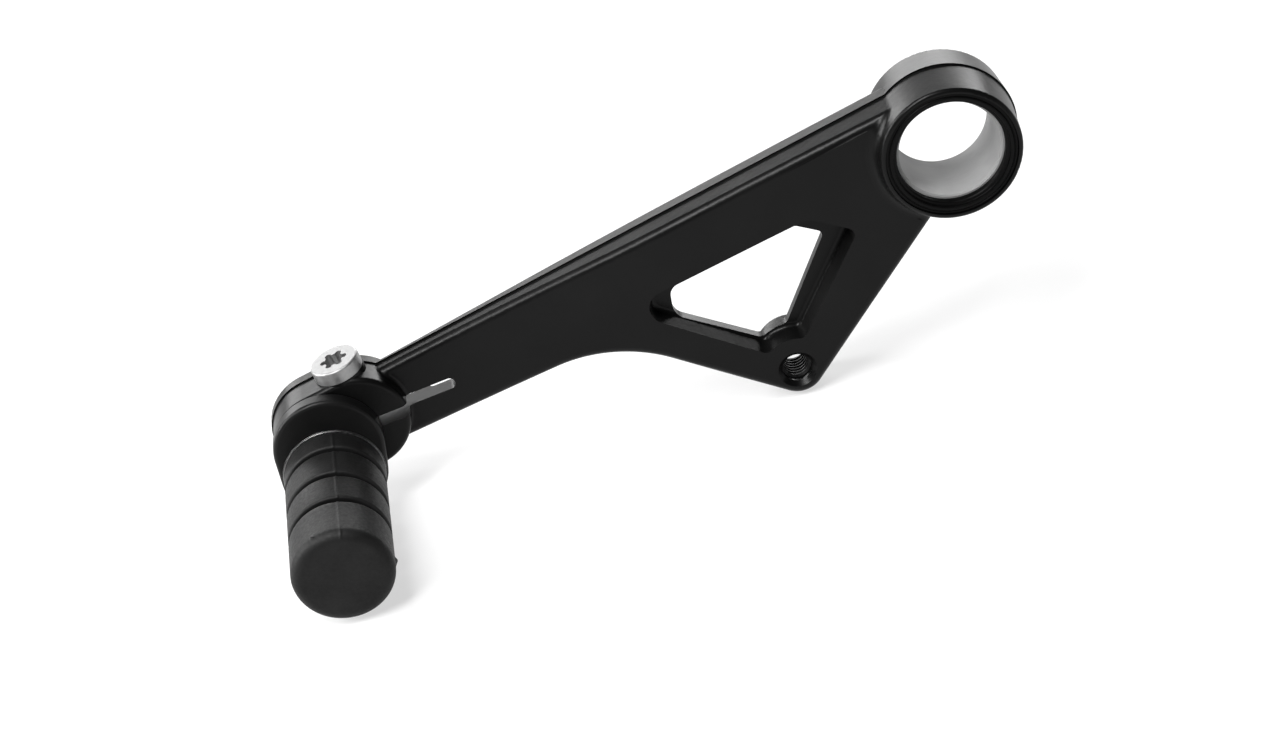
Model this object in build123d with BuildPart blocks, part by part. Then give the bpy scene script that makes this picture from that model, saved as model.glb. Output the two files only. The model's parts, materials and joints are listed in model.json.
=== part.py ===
"""Motorcycle gear shift lever, in millimetres.

The origin is the centre of the pivot bush. Y is the bush's axis, with the toe peg on the -Y
side (outboard) and the motorcycle on the +Y side. The lever stands on its toe peg and on its
lower corner, so +Z is up from that surface, and the arm drops away towards -X.

Arm coordinates (x, y, height) run from the pivot towards the rear along the line between the
two bores, across the arm, and outboard of the casting's parting plane. The toe is at -x.
"""
import os
from math import cos, radians, sin

from build123d import *

# Where the lever's centres lie
LEVER_LENGTH = 134.5
ARM_SLOPE = 13.3
ROD_HOLE = (-46.1, -31.4)

# Pivot hub and what it holds
SHAFT_RADIUS = 10.0
BUSH_WALL = 1.5
BUSH_LENGTH = 15.0
BUSH_CHAMFER = 0.3
HUB_RADIUS = 14.4
HUB_FRONT = 10.0
HUB_REAR = 8.4
HUB_DRAFT = 2.9
HUB_REAR_DRAFT = 5.0
HUB_RIM = 0.8
SEAL_GAP = 0.6
FRONT_SEAL = 1.5
REAR_SEAL = 0.8
SEAL_FLANGE_RADIUS = 13.0
SEAL_FLANGE_BACK = 8.6
SEAL_FLANGE_FRONT = 9.6
SEAL_RIB_RADIUS = 12.1
SEAL_RIB_FRONT = 9.8
SEAL_LIP_RADIUS = 11.4

# Arm and lower leg
ARM_TOP_AT_PIVOT = 13.0
ARM_TOP_AT_TOE = 6.7
ARM_BOTTOM = -9.1
ARM_ELBOW = (-75.7, ARM_BOTTOM)
ELBOW_RADIUS = 29.0
LEG_CORNER = (-46.75, -39.1)
LEG_CORNER_RADIUS = 5.5
LEG_ROOT = (1.5, -6.1)
FRONT_HEIGHTS = [(-150, 3.0), (-105, 3.4), (-85, 4.1), (-65, 5.3), (-40, 5.7), (-12, 6.3), (20, 6.7)]
REAR_HEIGHTS = [(-150, -1.0), (-105, -1.4), (-75, -2.6), (-40, -3.2), (20, -3.2)]
WIDEST = 60.0
NEARNESS = 0.6
FLATNESS = 0.01
PARTING_STEP = 0.3
EDGE_RADIUS = 1.6
ARM_DRAFT = 3.5
REAR_EDGE_RADIUS = 0.6
HUB_BLEND = 2.5
EYE_BLEND = 0.8
EYE_RIM = 1.0
HUB_SIDE = (-30.0, 0.0)
HUB_ROOT_HEIGHTS = (1.0, 9.0)
EYE_SIDE = (-125.0, -112.0)
EYE_ROOT_HEIGHTS = (0.1, 6.0)
ANYWHERE = (-200.0, 200.0)
OVERSHOOT = 1.0

# Window through the web, the shallow pocket around it, and the pocket in the rear face
POCKET_FLOOR = 1.5
POCKET_DRAFT = 11.0
POCKET_SHRINK = 1.0
POCKET_OUTLINE = {(-71.2, -2.6): 3.7, (-30.7, -1.6): 3.0, (-23.2, -8.4): 1.6, (-46.1, -29.1): None}
WINDOW_OUTLINE = {
    (-61.3, -4.6): 2.4,
    (-63.0, -10.26): 3.4,
    (-47.2, -26.1): None,
    (-29.3, -7.9): 1.2,
    (-33.8, -3.9): 1.5,
}
POCKET_FILLET = 1.0
POCKET_LOBE_FILLET = 1.5
WINDOW_LOBE_FILLET = 1.6
REAR_POCKET_RIM = 3.2
REAR_POCKET_FLOOR = -0.4
REAR_HUB_GUARD = 18.5
REAR_EYE_GUARD = 15.0
REAR_POCKET_FILLET = 1.0

# Tapped hole for the shift rod's ball stud, M6, with a boss on both faces
ROD_THREAD_RADIUS = 3.0
ROD_CHAMFER = 0.9
ROD_BOSS_FRONT = 7.2
ROD_BOSS_WINDOW = 8.6
ROD_BOSS_REAR = 7.0
ROD_BOSS_DEPTH = 5.0

# Clamp eye at the toe end
EYE_RADIUS = 10.7
EYE_FRONT = 7.0
EYE_REAR = 2.7
SCREW_BOSS = (-127.6, 0.5)
SCREW_BOSS_RADIUS = 10.4
CLAMP_BORE = 6.5
SLIT_WIDTH = 2.4
SLIT_LENGTH = 27.3
SLIT_TILT = 3.9

# Pinch screw, M6 with a low head, square to the slit
SCREW_OFFSET = 7.4
SCREW_HEIGHT = 1.9
SCREW_RADIUS = 3.0
SCREW_CLEARANCE = 0.3
THREAD_GAP = 0.05
HEAD_RADIUS = 5.0
HEAD_HEIGHT = 2.8
HEAD_EDGE = 0.4
HEAD_GAP = 0.03
SEAT_HEIGHT = 11.2
SEAT_RADIUS = 5.1
SEAT_CLEARANCE = 0.6
SCREW_LENGTH = 20.0
SCREW_TIP = 0.8
SOCKET_RADIUS = 1.95
SOCKET_LOBES = 6
LOBE_RADIUS = 0.7
LOBE_CIRCLE = 2.1
SOCKET_DEPTH = 2.3

# Toe piece: an eccentric carrier with a rubber sleeve
ECCENTRICITY = 5.65
PEG_LEAN = 3.5
CARRIER_GAP = 0.1
DISC_RADIUS = 11.0
DISC_PEG_RADIUS = 10.6
DISC_THICKNESS = 3.1
DISC_EDGE = 0.8
SHANK_FIT = 0.05
SHANK_LENGTH = 9.9
SHANK_CHAMFER = 0.6
NECK_RADIUS = 4.1
NECK_WIDTH = 6.8
COLLAR_RADIUS = 10.25
COLLAR_HEIGHT = 0.4
SPINDLE_RADIUS = 5.5
SPINDLE_LENGTH = 33.0
RUBBER_RADIUS = 10.0
RUBBER_LENGTH = 36.9
RUBBER_END_ROUND = 2.2
GROOVE_DEPTH = 0.8
GROOVE_WIDTH = 0.9
GROOVE_PITCH = 9.2
FIRST_GROOVE = 6.2
GROOVE_COUNT = 3

slope = radians(ARM_SLOPE)
parting = Plane(origin=(0, 0, 0), x_dir=(cos(slope), 0, sin(slope)), z_dir=(0, -1, 0))
housing_radius = SHAFT_RADIUS + BUSH_WALL
carrier_back = EYE_FRONT + CARRIER_GAP
carrier_front = carrier_back + DISC_THICKNESS
rubber_root = carrier_front + COLLAR_HEIGHT

clamp_centre = parting.from_local_coords(Vector(-LEVER_LENGTH, 0, 0))
clamp = Plane(origin=clamp_centre, x_dir=(1, 0, 0), z_dir=(0, -1, 0))
peg_offset = Vector(-ECCENTRICITY * sin(radians(PEG_LEAN)), -ECCENTRICITY * cos(radians(PEG_LEAN)))
peg = Plane(origin=clamp.from_local_coords(peg_offset), x_dir=(1, 0, 0), z_dir=(0, -1, 0))

# The slit's own plane: x runs along the slit towards the pivot, y across it
slit_angle = radians(ARM_SLOPE - SLIT_TILT)
slit_x = Vector(cos(slit_angle), 0, sin(slit_angle))
slit_y = Vector(-sin(slit_angle), 0, cos(slit_angle))
slit = Plane(origin=clamp_centre, x_dir=slit_x, z_dir=(0, -1, 0))
screw_centre = slit.from_local_coords(Vector(SCREW_OFFSET, 0, SCREW_HEIGHT))
screw = Plane(origin=screw_centre, x_dir=slit_x, z_dir=slit_y)


def level(height):
    """The plane this far outboard of the parting plane."""
    return parting.offset(height)


def rounded_polygon(outline, growth=0.0):
    """A sketch on the parting plane from corners and their radii, None for a sharp corner."""
    with BuildSketch(parting) as sketch:
        with BuildLine():
            Polyline(*outline, close=True)
        make_face()
        for corner, radius in outline.items():
            if radius:
                fillet(sketch.vertices().sort_by_distance(corner)[0], radius)
        if growth:
            offset(amount=growth, kind=Kind.INTERSECTION, mode=Mode.REPLACE)
    return sketch.sketch


def thickness_slab(side_line, far_height):
    """The solid between the parting plane and a side profile, wider than the whole lever."""
    side = Plane(origin=(0, 0, 0), x_dir=parting.x_dir, z_dir=parting.y_dir)
    ends = [side_line[-1], side_line[0]]
    with BuildPart() as slab:
        with BuildSketch(side.offset(-WIDEST)):
            with BuildLine():
                curve = Spline(*[(x, -height) for x, height in side_line])
                Polyline(curve @ 1, (ends[0][0], far_height), (ends[1][0], far_height), curve @ 0)
            make_face()
        extrude(amount=2 * WIDEST)
    return slab.part


def edges_near(part, centre, radius, x_range, heights):
    """Edges whose middles lie near a circle about an arm point, within the given ranges."""
    found = ShapeList()
    for edge in part.edges():
        middle = parting.to_local_coords(edge @ 0.5)
        distance = (Vector(middle.X, middle.Y) - Vector(*centre)).length
        in_range = x_range[0] < middle.X < x_range[1] and heights[0] < middle.Z < heights[1]
        if in_range and abs(distance - radius) < NEARNESS:
            found.append(edge)
    return found


def rim_edges(part, height):
    """Edges that lie flat at a height outboard of the parting plane."""
    return part.edges().filter_by_position(Axis.Y, -height - FLATNESS, -height + FLATNESS)


def circle_on(plane, radius, x=0.0, y=0.0):
    """A circular sketch at a point of a plane."""
    with BuildSketch(plane) as sketch:
        with Locations((x, y)):
            Circle(radius)
    return sketch.sketch


def eye_outline(growth=0.0):
    """The clamp eye: a round about the bore, drawn out around the pinch screw."""
    with BuildSketch(parting) as sketch:
        with Locations((-LEVER_LENGTH, 0)):
            Circle(EYE_RADIUS + growth)
        with Locations(SCREW_BOSS):
            Circle(SCREW_BOSS_RADIUS + growth)
        make_hull()
    return sketch.sketch


ARM_OUTLINE = {
    (0, ARM_TOP_AT_PIVOT): None,
    (-LEVER_LENGTH, ARM_TOP_AT_TOE): None,
    (-LEVER_LENGTH, ARM_BOTTOM): None,
    ARM_ELBOW: ELBOW_RADIUS,
    LEG_CORNER: LEG_CORNER_RADIUS,
    LEG_ROOT: None,
}

# Front half of the arm, with its softened front edge
with BuildPart() as front_arm:
    extrude(rounded_polygon(ARM_OUTLINE), amount=HUB_FRONT, taper=ARM_DRAFT)
    add(thickness_slab(FRONT_HEIGHTS, 0), mode=Mode.INTERSECT)
    fillet(front_arm.faces().sort_by(Axis.Y)[0].edges(), EDGE_RADIUS)

# Rear half of the arm, a little larger all round where the two halves of the mould meet
with BuildPart() as rear_arm:
    extrude(rounded_polygon(ARM_OUTLINE, PARTING_STEP), amount=-HUB_FRONT)
    add(thickness_slab(REAR_HEIGHTS, 0), mode=Mode.INTERSECT)
    fillet(rear_arm.faces().sort_by(Axis.Y)[-1].edges(), REAR_EDGE_RADIUS)

# The boss behind the tapped hole stays within the outline of the leg
with BuildPart() as rod_boss:
    extrude(circle_on(parting, ROD_BOSS_REAR, *ROD_HOLE), amount=-ROD_BOSS_DEPTH)
    extrude(rounded_polygon(ARM_OUTLINE, PARTING_STEP), amount=-ROD_BOSS_DEPTH, mode=Mode.INTERSECT)
    fillet(rim_edges(rod_boss, -ROD_BOSS_DEPTH), REAR_EDGE_RADIUS)

# The pocket in the rear face leaves a rim, the hub, the eye and the tapped hole's boss standing
with BuildPart() as rear_pocket:
    extrude(rounded_polygon(ARM_OUTLINE, -REAR_POCKET_RIM), amount=-HUB_FRONT)
    extrude(circle_on(parting, REAR_HUB_GUARD), amount=-HUB_FRONT, mode=Mode.SUBTRACT)
    extrude(circle_on(parting, REAR_EYE_GUARD, *SCREW_BOSS), amount=-HUB_FRONT, mode=Mode.SUBTRACT)
    extrude(circle_on(parting, ROD_BOSS_REAR, *ROD_HOLE), amount=-HUB_FRONT, mode=Mode.SUBTRACT)
    extrude(circle_on(parting, LEVER_LENGTH + WIDEST), amount=REAR_POCKET_FLOOR, mode=Mode.SUBTRACT)
    fillet(rear_pocket.edges().filter_by(parting), REAR_POCKET_FILLET)

# The pocket in the front face and the window inside it both step round the tapped hole
with BuildPart() as front_pocket:
    extrude(rounded_polygon(POCKET_OUTLINE, -POCKET_SHRINK), amount=HUB_FRONT, taper=-POCKET_DRAFT)
    boss = circle_on(parting, ROD_BOSS_FRONT + POCKET_SHRINK, *ROD_HOLE)
    extrude(boss, amount=HUB_FRONT, taper=POCKET_DRAFT, mode=Mode.SUBTRACT)
    extrude(circle_on(parting, LEVER_LENGTH + WIDEST), amount=POCKET_FLOOR, mode=Mode.SUBTRACT)
    lobes = edges_near(front_pocket, ROD_HOLE, ROD_BOSS_FRONT, ANYWHERE, ANYWHERE)
    fillet(lobes, POCKET_LOBE_FILLET)
    fillet(rim_edges(front_pocket, POCKET_FLOOR), POCKET_FILLET)
with BuildPart() as window:
    extrude(rounded_polygon(WINDOW_OUTLINE), amount=HUB_FRONT, both=True)
    boss = circle_on(parting, ROD_BOSS_WINDOW, *ROD_HOLE)
    extrude(boss, amount=HUB_FRONT, both=True, mode=Mode.SUBTRACT)
    lobes = edges_near(window, ROD_HOLE, ROD_BOSS_WINDOW, ANYWHERE, ANYWHERE).filter_by(Axis.Y)
    fillet(lobes, WINDOW_LOBE_FILLET)

with BuildPart() as lever_body:
    # Front half: arm, hub with its soft root, and clamp eye
    add(front_arm.part)
    extrude(circle_on(parting, HUB_RADIUS), amount=HUB_FRONT, taper=HUB_DRAFT)
    hub_root = edges_near(lever_body, (0, 0), HUB_RADIUS, HUB_SIDE, HUB_ROOT_HEIGHTS)
    fillet(hub_root, HUB_BLEND)
    fillet(rim_edges(lever_body, HUB_FRONT), HUB_RIM)
    extrude(eye_outline(), amount=EYE_FRONT)
    eye_root = edges_near(lever_body, SCREW_BOSS, SCREW_BOSS_RADIUS, EYE_SIDE, EYE_ROOT_HEIGHTS)
    fillet(eye_root, EYE_BLEND)
    fillet(rim_edges(lever_body, EYE_FRONT), EYE_RIM)
    # Rear half
    add(rear_arm.part)
    add(rod_boss.part)
    extrude(circle_on(parting, HUB_RADIUS + PARTING_STEP), amount=-HUB_REAR, taper=HUB_REAR_DRAFT)
    fillet(rim_edges(lever_body, -HUB_REAR), HUB_RIM)
    extrude(eye_outline(PARTING_STEP), amount=-EYE_REAR)
    fillet(rim_edges(lever_body, -EYE_REAR), REAR_EDGE_RADIUS)
    # Seat for the pinch screw's head, standing on the eye
    extrude(circle_on(screw.offset(CLAMP_BORE), SEAT_RADIUS), amount=SEAT_HEIGHT - CLAMP_BORE)
    # Pockets and window
    add(rear_pocket.part, mode=Mode.SUBTRACT)
    add(front_pocket.part, mode=Mode.SUBTRACT)
    add(window.part, mode=Mode.SUBTRACT)
    # Hub bore with its counterbore, tapped hole with its countersinks, and clamp bore
    extrude(circle_on(level(HUB_FRONT), housing_radius), amount=-2 * HUB_FRONT, mode=Mode.SUBTRACT)
    flange_seat = circle_on(level(SEAL_FLANGE_BACK), SEAL_FLANGE_RADIUS)
    extrude(flange_seat, amount=HUB_FRONT, mode=Mode.SUBTRACT)
    rod_hole = circle_on(level(HUB_FRONT), ROD_THREAD_RADIUS, *ROD_HOLE)
    extrude(rod_hole, amount=-2 * HUB_FRONT, mode=Mode.SUBTRACT)
    chamfer(edges_near(lever_body, ROD_HOLE, ROD_THREAD_RADIUS, ANYWHERE, ANYWHERE), ROD_CHAMFER)
    extrude(circle_on(clamp.offset(HUB_FRONT), CLAMP_BORE), amount=-2 * HUB_FRONT, mode=Mode.SUBTRACT)
    # Slit, from the clamp bore to its rounded end
    with BuildSketch(slit.offset(HUB_FRONT)):
        with Locations((SLIT_LENGTH / 2, 0)):
            SlotOverall(SLIT_LENGTH, SLIT_WIDTH)
    extrude(amount=-2 * HUB_FRONT, mode=Mode.SUBTRACT)
    # Pinch screw: level seat, clearance hole above the slit, thread below it
    seat_cut = circle_on(screw.offset(SEAT_HEIGHT), SEAT_RADIUS + SEAT_CLEARANCE)
    extrude(seat_cut, amount=HUB_FRONT, mode=Mode.SUBTRACT)
    extrude(circle_on(screw, SCREW_RADIUS + SCREW_CLEARANCE), amount=SEAT_HEIGHT, mode=Mode.SUBTRACT)
    extrude(circle_on(screw, SCREW_RADIUS + THREAD_GAP), amount=-2 * HUB_FRONT, mode=Mode.SUBTRACT)

# Pivot bush, pressed into the hub
with BuildPart() as pivot_bush:
    with BuildSketch(level(-BUSH_LENGTH / 2)):
        Circle(housing_radius)
        Circle(SHAFT_RADIUS, mode=Mode.SUBTRACT)
    extrude(amount=BUSH_LENGTH)
    chamfer(edges_near(pivot_bush, (0, 0), SHAFT_RADIUS, ANYWHERE, ANYWHERE), BUSH_CHAMFER)

# Rubber seals beside the bush; the outboard one has a flange, a raised rib and a set-back lip
with BuildPart() as outboard_seal:
    extrude(circle_on(level(BUSH_LENGTH / 2), housing_radius), amount=FRONT_SEAL)
    flange = circle_on(level(SEAL_FLANGE_BACK), SEAL_FLANGE_RADIUS)
    extrude(flange, amount=SEAL_FLANGE_FRONT - SEAL_FLANGE_BACK)
    rib = circle_on(level(SEAL_FLANGE_BACK), SEAL_RIB_RADIUS)
    extrude(rib, amount=SEAL_RIB_FRONT - SEAL_FLANGE_BACK)
    lip_step = circle_on(level(BUSH_LENGTH / 2 + FRONT_SEAL), SEAL_LIP_RADIUS)
    extrude(lip_step, amount=HUB_FRONT, mode=Mode.SUBTRACT)
    lip_bore = circle_on(level(HUB_FRONT), SHAFT_RADIUS + SEAL_GAP)
    extrude(lip_bore, amount=-HUB_FRONT, mode=Mode.SUBTRACT)
with BuildPart() as inboard_seal:
    with BuildSketch(level(-BUSH_LENGTH / 2)):
        Circle(housing_radius)
        Circle(SHAFT_RADIUS + SEAL_GAP, mode=Mode.SUBTRACT)
    extrude(amount=-REAR_SEAL)

# Toe carrier: shank in the clamp, disc that covers the eye, and spindle for the rubber
with BuildPart() as toe_carrier:
    with BuildSketch(clamp.offset(carrier_back)):
        Circle(DISC_RADIUS)
        with Locations(peg_offset):
            Circle(DISC_PEG_RADIUS)
        make_hull()
    extrude(amount=DISC_THICKNESS)
    fillet(rim_edges(toe_carrier, carrier_front), DISC_EDGE)
    shank_radius = CLAMP_BORE - SHANK_FIT
    extrude(circle_on(clamp.offset(carrier_back), shank_radius), amount=-SHANK_LENGTH)
    chamfer(rim_edges(toe_carrier, carrier_back - SHANK_LENGTH), SHANK_CHAMFER)
    with BuildSketch(clamp.offset(SCREW_HEIGHT - NECK_WIDTH / 2)):
        Circle(shank_radius + OVERSHOOT)
        Circle(NECK_RADIUS, mode=Mode.SUBTRACT)
    extrude(amount=NECK_WIDTH, mode=Mode.SUBTRACT)
    extrude(circle_on(peg.offset(carrier_front), COLLAR_RADIUS), amount=COLLAR_HEIGHT)
    extrude(circle_on(peg.offset(rubber_root), SPINDLE_RADIUS), amount=SPINDLE_LENGTH)

# Toe rubber: a ribbed sleeve with a closed, rounded end
with BuildPart() as toe_rubber:
    extrude(circle_on(peg.offset(rubber_root), RUBBER_RADIUS), amount=RUBBER_LENGTH)
    fillet(rim_edges(toe_rubber, rubber_root + RUBBER_LENGTH), RUBBER_END_ROUND)
    for groove in range(GROOVE_COUNT):
        groove_height = rubber_root + FIRST_GROOVE + groove * GROOVE_PITCH
        with BuildSketch(peg.offset(groove_height - GROOVE_WIDTH / 2)):
            Circle(RUBBER_RADIUS + OVERSHOOT)
            Circle(RUBBER_RADIUS - GROOVE_DEPTH, mode=Mode.SUBTRACT)
        extrude(amount=GROOVE_WIDTH, mode=Mode.SUBTRACT)
    extrude(circle_on(peg.offset(rubber_root), SPINDLE_RADIUS), amount=SPINDLE_LENGTH, mode=Mode.SUBTRACT)

# Pinch screw: low head with a six-lobe socket
with BuildPart() as pinch_screw:
    seat = screw.offset(SEAT_HEIGHT + HEAD_GAP)
    extrude(circle_on(seat, HEAD_RADIUS), amount=HEAD_HEIGHT)
    fillet(pinch_screw.edges().sort_by(Axis(screw.origin, screw.z_dir))[-1], HEAD_EDGE)
    with BuildSketch(seat.offset(HEAD_HEIGHT)):
        Circle(SOCKET_RADIUS)
        with PolarLocations(LOBE_CIRCLE, SOCKET_LOBES):
            Circle(LOBE_RADIUS)
    extrude(amount=-SOCKET_DEPTH, mode=Mode.SUBTRACT)
    extrude(circle_on(seat, SCREW_RADIUS), amount=-SCREW_LENGTH)
    chamfer(pinch_screw.edges().sort_by(Axis(screw.origin, screw.z_dir))[0], SCREW_TIP)

os.makedirs("parts", exist_ok=True)
lever_body.part.label = "lever_body"
pivot_bush.part.label = "pivot_bush"
outboard_seal.part.label = "outboard_seal"
inboard_seal.part.label = "inboard_seal"
toe_carrier.part.label = "toe_carrier"
toe_rubber.part.label = "toe_rubber"
pinch_screw.part.label = "pinch_screw"
export_step(lever_body.part, "parts/lever_body.step")
export_step(pivot_bush.part, "parts/pivot_bush.step")
export_step(outboard_seal.part, "parts/outboard_seal.step")
export_step(inboard_seal.part, "parts/inboard_seal.step")
export_step(toe_carrier.part, "parts/toe_carrier.step")
export_step(toe_rubber.part, "parts/toe_rubber.step")
export_step(pinch_screw.part, "parts/pinch_screw.step")
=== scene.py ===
"""Studio view of a motorcycle gear shift lever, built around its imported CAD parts.

Metres throughout. The origin is the centre of the pivot bush, Y is its axis, and -Y is outboard.
"""
import json
from math import cos, pi, radians, sin, sqrt

import bmesh
import bpy
from mathutils import Matrix, Vector


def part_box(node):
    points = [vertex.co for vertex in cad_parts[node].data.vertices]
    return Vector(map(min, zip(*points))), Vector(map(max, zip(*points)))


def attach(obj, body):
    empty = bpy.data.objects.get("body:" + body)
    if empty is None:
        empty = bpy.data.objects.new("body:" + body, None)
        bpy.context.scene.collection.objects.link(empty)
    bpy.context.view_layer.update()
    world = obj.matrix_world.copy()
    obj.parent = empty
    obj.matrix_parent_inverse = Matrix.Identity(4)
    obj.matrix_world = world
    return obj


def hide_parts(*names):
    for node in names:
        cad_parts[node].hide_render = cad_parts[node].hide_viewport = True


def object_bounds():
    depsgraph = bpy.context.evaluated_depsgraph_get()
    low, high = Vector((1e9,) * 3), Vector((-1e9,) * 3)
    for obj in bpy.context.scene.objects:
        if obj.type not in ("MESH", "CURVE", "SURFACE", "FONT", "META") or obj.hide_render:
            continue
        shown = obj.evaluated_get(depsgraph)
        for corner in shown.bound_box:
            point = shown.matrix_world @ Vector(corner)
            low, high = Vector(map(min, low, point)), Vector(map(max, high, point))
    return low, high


MM = 0.001
MICRON = 0.001 * MM

# Camera, looking at the outboard side from a little above
CAMERA_AT = Vector((-62.4, -628.8, 339.5)) * MM
CAMERA_RIGHT = Vector((0.9714, -0.1140, -0.2083))
CAMERA_UP = Vector((0.2372, 0.5008, 0.8324))
CAMERA_LENS = 104.37
SENSOR_WIDTH = 36.0
CLIP_START = 0.01

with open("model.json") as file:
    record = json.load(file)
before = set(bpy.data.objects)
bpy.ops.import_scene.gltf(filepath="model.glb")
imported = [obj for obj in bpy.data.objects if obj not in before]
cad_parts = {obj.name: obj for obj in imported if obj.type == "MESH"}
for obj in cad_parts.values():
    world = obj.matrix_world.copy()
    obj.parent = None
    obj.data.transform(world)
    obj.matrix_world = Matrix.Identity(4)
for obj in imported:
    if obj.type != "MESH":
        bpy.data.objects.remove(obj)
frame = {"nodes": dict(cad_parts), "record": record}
cad_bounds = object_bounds()


# ---------------------------------------------------------------- material helpers
class Shader:
    """A material's node tree, built from its Principled shader outwards."""

    def __init__(self, name):
        self.material = bpy.data.materials.new(name)
        self.material.use_nodes = True
        self.tree = self.material.node_tree
        self.principled = self.tree.nodes["Principled BSDF"]
        self.coordinates = self.node("ShaderNodeTexCoord").outputs["Object"]

    def node(self, kind, **settings):
        made = self.tree.nodes.new(kind)
        for key, value in settings.items():
            setattr(made, key, value)
        return made

    def link(self, source, target):
        self.tree.links.new(source, target)

    def noise(self, scale, detail=3.0, roughness=0.5, stretch=None):
        """Noise in object space; scale is in features per metre."""
        texture = self.node("ShaderNodeTexNoise")
        texture.inputs["Scale"].default_value = scale
        texture.inputs["Detail"].default_value = detail
        texture.inputs["Roughness"].default_value = roughness
        source = self.coordinates
        if stretch:
            mapping = self.node("ShaderNodeMapping")
            mapping.inputs["Scale"].default_value = stretch
            self.link(source, mapping.inputs["Vector"])
            source = mapping.outputs["Vector"]
        self.link(source, texture.inputs["Vector"])
        return texture.outputs["Fac"]

    def ramp(self, source, low, high, start=0.3, end=0.7):
        """A colour ramp between two greys or colours."""
        ramp = self.node("ShaderNodeValToRGB")
        ramp.color_ramp.elements[0].position = start
        ramp.color_ramp.elements[1].position = end
        ramp.color_ramp.elements[0].color = (*low, 1)
        ramp.color_ramp.elements[1].color = (*high, 1)
        self.link(source, ramp.inputs["Fac"])
        return ramp.outputs["Color"]

    def spread(self, source, low, high, start=0.3, end=0.7):
        """Maps a value to a range."""
        spread = self.node("ShaderNodeMapRange")
        spread.inputs["From Min"].default_value = start
        spread.inputs["From Max"].default_value = end
        spread.inputs["To Min"].default_value = low
        spread.inputs["To Max"].default_value = high
        self.link(source, spread.inputs["Value"])
        return spread.outputs["Result"]

    def bump(self, height, depth, below=None):
        """Bump of the given depth in metres, on top of another bump."""
        bump = self.node("ShaderNodeBump")
        bump.inputs["Strength"].default_value = 1.0
        bump.inputs["Distance"].default_value = depth
        self.link(height, bump.inputs["Height"])
        if below:
            self.link(below, bump.inputs["Normal"])
        return bump.outputs["Normal"]

    def set(self, **values):
        """Sets the Principled shader's own values, with _ for each space in a name."""
        for key, value in values.items():
            self.principled.inputs[key.replace("_", " ")].default_value = value

    def feed(self, name, source):
        """Drives one of the Principled shader's inputs."""
        self.link(source, self.principled.inputs[name])


def grey(value):
    """A neutral colour."""
    return (value, value, value)


def powder_coat():
    """Satin black powder coat: faint orange peel and a fine grain."""
    shader = Shader("powder_coat")
    cloud = shader.noise(scale=60, detail=4)
    peel = shader.noise(scale=900, detail=2)
    grain = shader.noise(scale=4200, detail=2)
    shader.feed("Base Color", shader.ramp(cloud, grey(0.0020), grey(0.0040)))
    shader.feed("Roughness", shader.spread(cloud, 0.30, 0.36))
    shader.feed("Normal", shader.bump(grain, 6 * MICRON, shader.bump(peel, 18 * MICRON)))
    shader.set(Specular_IOR_Level=0.14)
    return shader.material


def anodised():
    """Black anodised aluminium, a little duller than the casting's coat."""
    shader = Shader("black_anodised")
    cloud = shader.noise(scale=90, detail=4)
    grain = shader.noise(scale=5200, detail=2)
    shader.feed("Base Color", shader.ramp(cloud, grey(0.003), grey(0.006)))
    shader.feed("Roughness", shader.spread(cloud, 0.34, 0.42))
    shader.feed("Normal", shader.bump(grain, 6 * MICRON))
    shader.set(Specular_IOR_Level=0.17)
    return shader.material


def moulded_rubber():
    """Matt moulded rubber with a fine, slightly uneven surface."""
    shader = Shader("moulded_rubber")
    cloud = shader.noise(scale=140, detail=5)
    skin = shader.noise(scale=1500, detail=4, roughness=0.6)
    speck = shader.noise(scale=6000, detail=1)
    shader.feed("Base Color", shader.ramp(cloud, grey(0.003), grey(0.009)))
    shader.feed("Roughness", shader.spread(skin, 0.48, 0.64))
    shader.feed("Normal", shader.bump(speck, 16 * MICRON, shader.bump(skin, 50 * MICRON)))
    shader.set(Specular_IOR_Level=0.2)
    return shader.material


def seal_rubber():
    """Smooth, very dark sealing rubber."""
    shader = Shader("seal_rubber")
    skin = shader.noise(scale=1800, detail=3)
    shader.feed("Base Color", shader.ramp(skin, grey(0.001), grey(0.002)))
    shader.feed("Roughness", shader.spread(skin, 0.36, 0.48))
    shader.feed("Normal", shader.bump(skin, 10 * MICRON))
    shader.set(Specular_IOR_Level=0.09)
    return shader.material


# Noise squeezed along the bore, so that its marks run round it
BORE_STRETCH = (1, 9, 1)


def bush_metal():
    """Dull grey bush lining, with faint marks round its bore."""
    shader = Shader("bush_metal")
    cloud = shader.noise(scale=120, detail=5)
    marks = shader.noise(scale=500, detail=3, stretch=BORE_STRETCH)
    shader.feed("Base Color", shader.ramp(cloud, grey(0.24), grey(0.29)))
    shader.feed("Roughness", shader.spread(marks, 0.62, 0.76))
    shader.feed("Normal", shader.bump(marks, 6 * MICRON))
    shader.set(Metallic=0.2)
    return shader.material


def screw_steel():
    """Zinc-flake coated steel, pale and slightly mottled."""
    shader = Shader("screw_steel")
    cloud = shader.noise(scale=700, detail=5)
    grain = shader.noise(scale=5000, detail=2)
    shader.feed("Base Color", shader.ramp(cloud, grey(0.26), grey(0.36)))
    shader.feed("Roughness", shader.spread(cloud, 0.36, 0.50))
    shader.feed("Normal", shader.bump(grain, 8 * MICRON))
    shader.set(Metallic=0.85)
    return shader.material


def floor_material():
    """Plain white paper that glows enough to keep the shadows on it faint."""
    shader = Shader("white_floor")
    paper = shader.noise(scale=30, detail=3)
    shader.feed("Base Color", shader.ramp(paper, grey(0.29), grey(0.31)))
    shader.set(Roughness=0.7, Emission_Color=(1, 1, 1, 1), Emission_Strength=0.6)
    return shader.material


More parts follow.
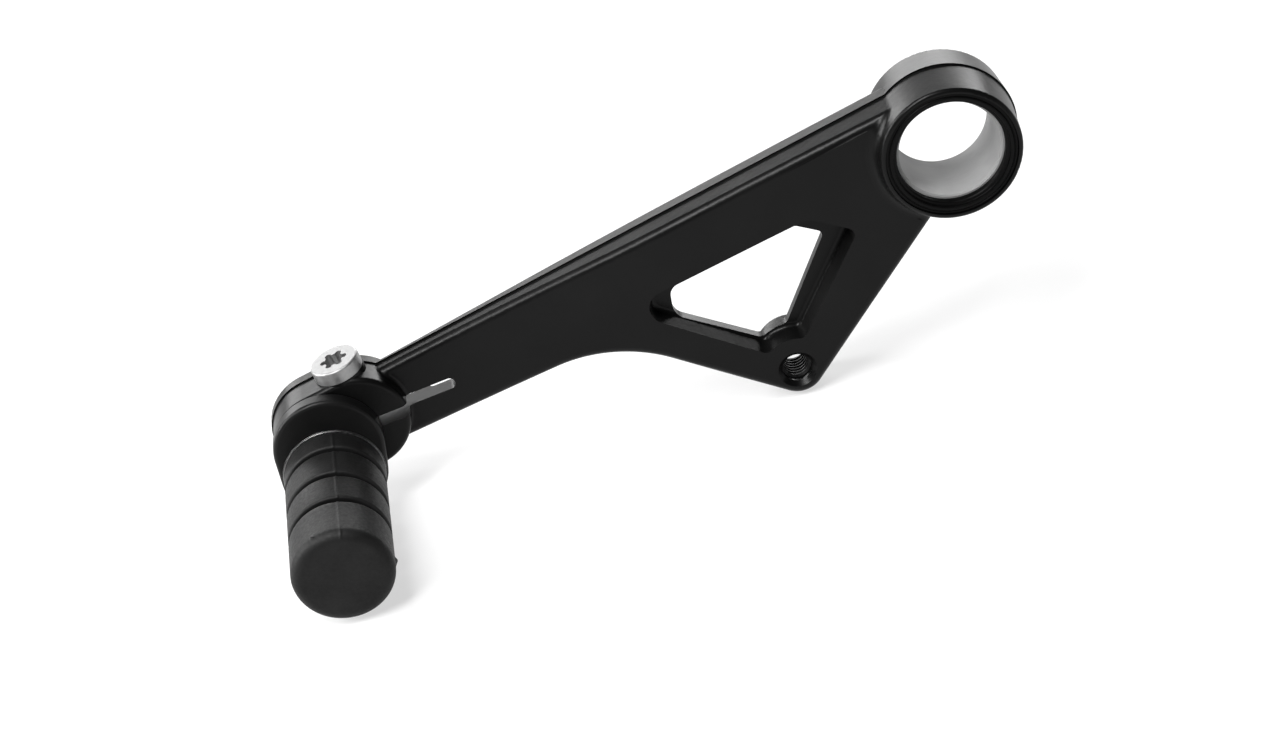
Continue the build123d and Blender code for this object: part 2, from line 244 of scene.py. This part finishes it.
def highlight_edge_metal():
    """Bright grey metal for the ring at the collar's edge, a painted highlight along that edge, with
    faint marks in its roughness.
    """
    shader = Shader("highlight_edge_metal")
    marks = shader.noise(scale=2500, detail=2)
    shader.feed("Base Color", shader.ramp(marks, grey(0.22), grey(0.34)))
    shader.feed("Roughness", shader.spread(marks, 0.30, 0.42))
    shader.set(Metallic=1.0)
    return shader.material


def thread_metal():
    """The thread's flanks, dark with traces of coating."""
    shader = Shader("thread_metal")
    traces = shader.noise(scale=1400, detail=4)
    shader.feed("Base Color", shader.ramp(traces, grey(0.003), grey(0.02)))
    shader.feed("Roughness", shader.spread(traces, 0.36, 0.52))
    shader.set(Metallic=0.3, Specular_IOR_Level=0.2)
    return shader.material


def dress(node, material):
    """Gives a CAD node its material."""
    data = frame["nodes"][node].data
    data.materials.clear()
    data.materials.append(material)


RUBBER = moulded_rubber()
SEAL = seal_rubber()
for node, material in {
    "lever_body": powder_coat(),
    "pivot_bush": bush_metal(),
    "outboard_seal": SEAL,
    "inboard_seal": SEAL,
    "toe_carrier": anodised(),
    "toe_rubber": RUBBER,
    "pinch_screw": screw_steel(),
}.items():
    dress(node, material)


# ---------------------------------------------------------------- mesh helpers
SHARP_ANGLE = radians(38)
RING_SIDES = 256


def add_mesh(name, points, faces, material, body):
    """A mesh piece in metres that rides on a body, with the given material."""
    data = bpy.data.meshes.new(name)
    data.from_pydata(points, [], faces)
    shell = bmesh.new()
    shell.from_mesh(data)
    bmesh.ops.recalc_face_normals(shell, faces=shell.faces)
    shell.to_mesh(data)
    shell.free()
    data.materials.append(material)
    data.polygons.foreach_set("use_smooth", [True] * len(data.polygons))
    data.set_sharp_from_angle(angle=SHARP_ANGLE)
    data.update()
    piece = bpy.data.objects.new(name, data)
    bpy.context.scene.collection.objects.link(piece)
    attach(piece, body)
    return piece


def arc(centre, radius, start, end, steps):
    """Points (along, out) on an arc, angles in degrees from the along axis."""
    points = []
    for step in range(steps + 1):
        angle = radians(start + (end - start) * step / steps)
        points.append((centre[0] + radius * cos(angle), centre[1] + radius * sin(angle)))
    return points


def grid_faces(rows, columns, closed_rows=False):
    """Quads over rows of points, each row a closed loop; closed_rows joins the last row to the first."""
    faces = []
    for row in range(rows if closed_rows else rows - 1):
        upper = (row + 1) % rows
        for column in range(columns):
            right = (column + 1) % columns
            faces.append((row * columns + column, row * columns + right,
                          upper * columns + right, upper * columns + column))
    return faces


def add_ring(name, profile, centre, facing, material, body):
    """A ring turned about the Y axis from a closed profile of (distance from centre, radius)."""
    points = []
    for along, out in profile:
        for side in range(RING_SIDES):
            angle = 2 * pi * side / RING_SIDES
            points.append((centre.x + out * cos(angle), centre.y + facing * along,
                           centre.z + out * sin(angle)))
    faces = grid_faces(len(profile), RING_SIDES, closed_rows=True)
    return add_mesh(name, points, faces, material, body)


# ---------------------------------------------------------------- seals beside the bush
# Half sections in millimetres: distance from the bush's end, then radius
OUTBOARD_SEAL_SECTION = (
    (0.02, 10.65), (0.02, 11.46), (1.12, 11.46), (1.12, 12.96),  # back and flange seat
    (1.92, 12.96), (2.07, 12.88), (2.10, 12.70), (2.10, 12.45),  # flange
    (2.00, 12.36), (2.00, 12.28), (2.14, 12.18), (2.26, 12.05),  # groove round the rib
    (2.28, 11.90), (2.28, 11.62), (2.20, 11.48), (2.00, 11.42),  # rib
    (1.58, 11.40), (1.50, 11.30), (1.50, 11.00), (1.40, 10.78), (1.20, 10.66),  # set-back lip
)
INBOARD_SEAL_SECTION = (
    (0.02, 10.65), (0.02, 11.46), (0.60, 11.46), (0.74, 11.38),
    (0.78, 11.25), (0.78, 10.95), (0.72, 10.78), (0.55, 10.67),
)


def add_seals(material):
    """The two rubber seals, with the rounded flange, rib and lips that the CAD rings stand for."""
    low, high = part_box("pivot_bush")
    middle = (low + high) / 2
    for node, section, end, facing in (
        ("outboard_seal", OUTBOARD_SEAL_SECTION, low.y, -1),
        ("inboard_seal", INBOARD_SEAL_SECTION, high.y, 1),
    ):
        profile = [(along * MM, out * MM) for along, out in section]
        centre = Vector((middle.x, end, middle.z))
        ring = add_ring(node + "_ring", profile, centre, facing, material, "lever")
        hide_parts(node)


# ---------------------------------------------------------------- toe rubber
RUBBER_SIDES = 360
ROOT_STEPS, LIP_STEPS, GROOVE_STEPS, END_STEPS = 6, 6, 5, 14
SIDE_STEPS, CAP_STEPS = 12, 8
GROOVE_CENTRES = (6.2 * MM, 15.4 * MM, 24.6 * MM)
GROOVE_DEPTH = 1.9 * MM
GROOVE_HALF_WIDTH = 0.72 * MM
GROOVE_ROOT = 0.4 * MM
LIP_ROUND = 0.55 * MM
ROOT_ROUND = 0.5 * MM
END_ROUND = 2.2 * MM
SEAM_HEIGHT = 0.15 * MM
SEAM_HALF_WIDTH = 0.012 * pi
SEAM_ANGLE = 0.44 * pi
# The mould's seam and flash lift only what lies nearer the surface than this
RELIEF_DEPTH = 1.6 * GROOVE_DEPTH
BORE_RADIUS = 5.5 * MM
BORE_LENGTH = 33.0 * MM
# Flash left by the mould: where along the sleeve, at what angle, how high and how wide
FLASH_NUBS = (
    (35.2 * MM, 0.62 * pi, 0.45 * MM, 0.5 * MM),
    (33.4 * MM, 1.96 * pi, 0.5 * MM, 1.1 * MM),
)


def rubber_profile(length, radius):
    """The sleeve's outline from the end of its bore, round the root, to the closed end's middle."""
    profile = [(BORE_LENGTH, BORE_RADIUS), (0, BORE_RADIUS)]
    profile += arc((ROOT_ROUND, radius - ROOT_ROUND), ROOT_ROUND, 180, 90, ROOT_STEPS)
    for middle in GROOVE_CENTRES:
        near, far = middle - GROOVE_HALF_WIDTH, middle + GROOVE_HALF_WIDTH
        floor = radius - GROOVE_DEPTH
        profile += arc((near - LIP_ROUND, radius - LIP_ROUND), LIP_ROUND, 90, 0, LIP_STEPS)
        profile += arc((near + GROOVE_ROOT, floor + GROOVE_ROOT), GROOVE_ROOT, 180, 270, GROOVE_STEPS)
        profile += arc((far - GROOVE_ROOT, floor + GROOVE_ROOT), GROOVE_ROOT, 270, 360, GROOVE_STEPS)
        profile += arc((far + LIP_ROUND, radius - LIP_ROUND), LIP_ROUND, 180, 90, LIP_STEPS)
    start = GROOVE_CENTRES[-1] + GROOVE_HALF_WIDTH + LIP_ROUND
    end = length - END_ROUND
    profile += [(start + (end - start) * step / SIDE_STEPS, radius) for step in range(1, SIDE_STEPS)]
    profile += arc((end, radius - END_ROUND), END_ROUND, 90, 0, END_STEPS)
    flat = radius - END_ROUND
    profile += [(length, flat * (1 - step / CAP_STEPS)) for step in range(1, CAP_STEPS)]
    return profile


def rubber_relief(along, out, angle, radius):
    """How far the mould's seam and flash lift the surface."""
    if out < radius - RELIEF_DEPTH:
        return 0.0
    lift = 0.0
    off = abs(angle - SEAM_ANGLE)
    if off < SEAM_HALF_WIDTH:
        lift += SEAM_HEIGHT * (1 - off / SEAM_HALF_WIDTH)
    for at, nub_angle, height, spread in FLASH_NUBS:
        distance = sqrt((along - at) ** 2 + (radius * (angle - nub_angle)) ** 2) / spread
        if distance < 1:
            lift += height * (1 - distance ** 2) ** 2
    return lift


def add_toe_rubber(material):
    """A ribbed sleeve with rounded grooves, a mould seam along its top and a closed end."""
    low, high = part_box("toe_rubber")
    centre_x, centre_z = (low.x + high.x) / 2, (low.z + high.z) / 2
    radius, length = (high.x - low.x) / 2, high.y - low.y
    profile = rubber_profile(length, radius)
    points = []
    for along, out in profile:
        for side in range(RUBBER_SIDES):
            angle = 2 * pi * side / RUBBER_SIDES
            reach = out + rubber_relief(along, out, angle, radius)
            points.append((centre_x + reach * cos(angle), high.y - along, centre_z + reach * sin(angle)))
    faces = grid_faces(len(profile), RUBBER_SIDES)
    bore_end, tip = len(points), len(points) + 1
    points.append((centre_x, high.y - BORE_LENGTH, centre_z))
    points.append((centre_x, low.y, centre_z))
    last = (len(profile) - 1) * RUBBER_SIDES
    for side in range(RUBBER_SIDES):
        following = (side + 1) % RUBBER_SIDES
        faces.append((following, side, bore_end))
        faces.append((last + side, last + following, tip))
    rubber = add_mesh("toe_rubber_sleeve", points, faces, material, "toe")
    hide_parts("toe_rubber")


# The collar's edge: how far it stands out past the rubber, reaches in, and runs along
EDGE_OUT = 0.26 * MM
EDGE_IN = 0.35 * MM
EDGE_CHAMFER = 0.14 * MM
EDGE_LAND = 0.30 * MM
EDGE_LENGTH = 0.36 * MM
EDGE_AHEAD = 0.03 * MM


def add_collar_edge(material):
    """A thin ring of bright metal at the carrier's collar, at the root of the rubber: a painted
    highlight along the collar's edge.
    """
    low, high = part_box("toe_rubber")
    radius = (high.x - low.x) / 2
    outer = radius + EDGE_OUT
    inner = radius - EDGE_IN
    profile = [(0, inner), (0, outer - EDGE_CHAMFER), (EDGE_CHAMFER, outer), (EDGE_LAND, outer),
               (EDGE_LENGTH, inner)]
    front = Vector(((low.x + high.x) / 2, high.y - EDGE_AHEAD, (low.z + high.z) / 2))
    add_ring("collar_edge", profile, front, 1, material, "toe")


# ---------------------------------------------------------------- thread in the rod hole
THREAD_PITCH = 1.0 * MM
THREAD_STEPS = 48
THREAD_CREST = 2.5 * MM
THREAD_ROOT_DEPTH = 0.02 * MM
THREAD_END_GAP = 0.5 * MM
# Half widths of the ridge, in pitches
ROOT_HALF_WIDTH = 0.44
CREST_HALF_WIDTH = 0.09


def add_rod_thread(material):
    """The M6 thread cut in the tapped hole, as a helical ridge on its wall."""
    mount = next(m for m in frame["record"]["mounts"] if m["name"] == "shift_rod_hole")
    centre = Vector(mount["pos_m"])
    wall = mount["dims"]["r_mm"] * MM + THREAD_ROOT_DEPTH
    half_length = mount["dims"]["length_mm"] * MM / 2 - THREAD_END_GAP
    ridge = [(wall, -ROOT_HALF_WIDTH), (THREAD_CREST, -CREST_HALF_WIDTH),
             (THREAD_CREST, CREST_HALF_WIDTH), (wall, ROOT_HALF_WIDTH)]
    turns = int(2 * half_length / THREAD_PITCH)
    points = []
    for step in range(turns * THREAD_STEPS + 1):
        angle = 2 * pi * step / THREAD_STEPS
        along = centre.y - turns * THREAD_PITCH / 2 + THREAD_PITCH * step / THREAD_STEPS
        for out, shift in ridge:
            points.append((centre.x + out * cos(angle), along + shift * THREAD_PITCH,
                           centre.z + out * sin(angle)))
    faces = grid_faces(turns * THREAD_STEPS + 1, len(ridge))
    faces.append(tuple(range(len(ridge))))
    end = turns * THREAD_STEPS * len(ridge)
    faces.append(tuple(end + corner for corner in reversed(range(len(ridge)))))
    add_mesh("rod_hole_thread", points, faces, material, "lever")


add_seals(SEAL)
add_toe_rubber(RUBBER)
# The ring at the collar's edge is bright metal, a painted highlight along that edge.
add_collar_edge(highlight_edge_metal())
add_rod_thread(thread_metal())


# ---------------------------------------------------------------- stage
FLOOR_SIZE = 8
WORLD_STRENGTH = 0.09
# Softboxes: name, place, what each one faces, width, height, power in watts
SOFTBOXES = (
    ("front_top", (-0.36, -0.38, 0.8), (-0.06, 0, -0.02), 0.22, 0.75, 13),
    ("backdrop", (-0.05, 1.7, 0.48), (-0.06, 0, 0), 2.8, 0.4, 37),
    ("left", (-1.1, 0.1, 0.5), (-0.1, 0, -0.03), 0.6, 0.8, 19),
)


def add_floor(height):
    """The white floor that the lever stands on."""
    bpy.ops.mesh.primitive_plane_add(size=FLOOR_SIZE, location=(0, 0, height))
    floor = bpy.context.object
    floor.name = "floor"
    floor.data.materials.append(floor_material())


def add_area_light(name, at, towards, width, height, power):
    """A softbox of the given size, facing a point."""
    light = bpy.data.lights.new(name, "AREA")
    light.shape = "RECTANGLE"
    light.size = width
    light.size_y = height
    light.energy = power
    lamp = bpy.data.objects.new(name, light)
    lamp.location = at
    lamp.rotation_euler = (Vector(towards) - Vector(at)).to_track_quat("-Z", "Y").to_euler()
    bpy.context.scene.collection.objects.link(lamp)


def add_world(strength):
    """A weak, even white surround."""
    world = bpy.data.worlds.new("studio")
    bpy.context.scene.world = world
    world.use_nodes = True
    world.node_tree.nodes["Background"].inputs["Color"].default_value = (1, 1, 1, 1)
    world.node_tree.nodes["Background"].inputs["Strength"].default_value = strength


def add_camera():
    """The camera that the still is taken from."""
    data = bpy.data.cameras.new("camera")
    data.lens = CAMERA_LENS
    data.sensor_width = SENSOR_WIDTH
    data.clip_start = CLIP_START
    camera = bpy.data.objects.new("camera", data)
    look = CAMERA_UP.cross(CAMERA_RIGHT).normalized()
    turn = Matrix((CAMERA_RIGHT, CAMERA_UP, -look)).transposed()
    camera.matrix_world = Matrix.Translation(CAMERA_AT) @ turn.to_4x4()
    bpy.context.scene.collection.objects.link(camera)
    bpy.context.scene.camera = camera


add_floor(cad_bounds[0][2])
for softbox in SOFTBOXES:
    add_area_light(*softbox)
add_world(WORLD_STRENGTH)
bpy.context.scene.view_settings.view_transform = "Standard"
add_camera()
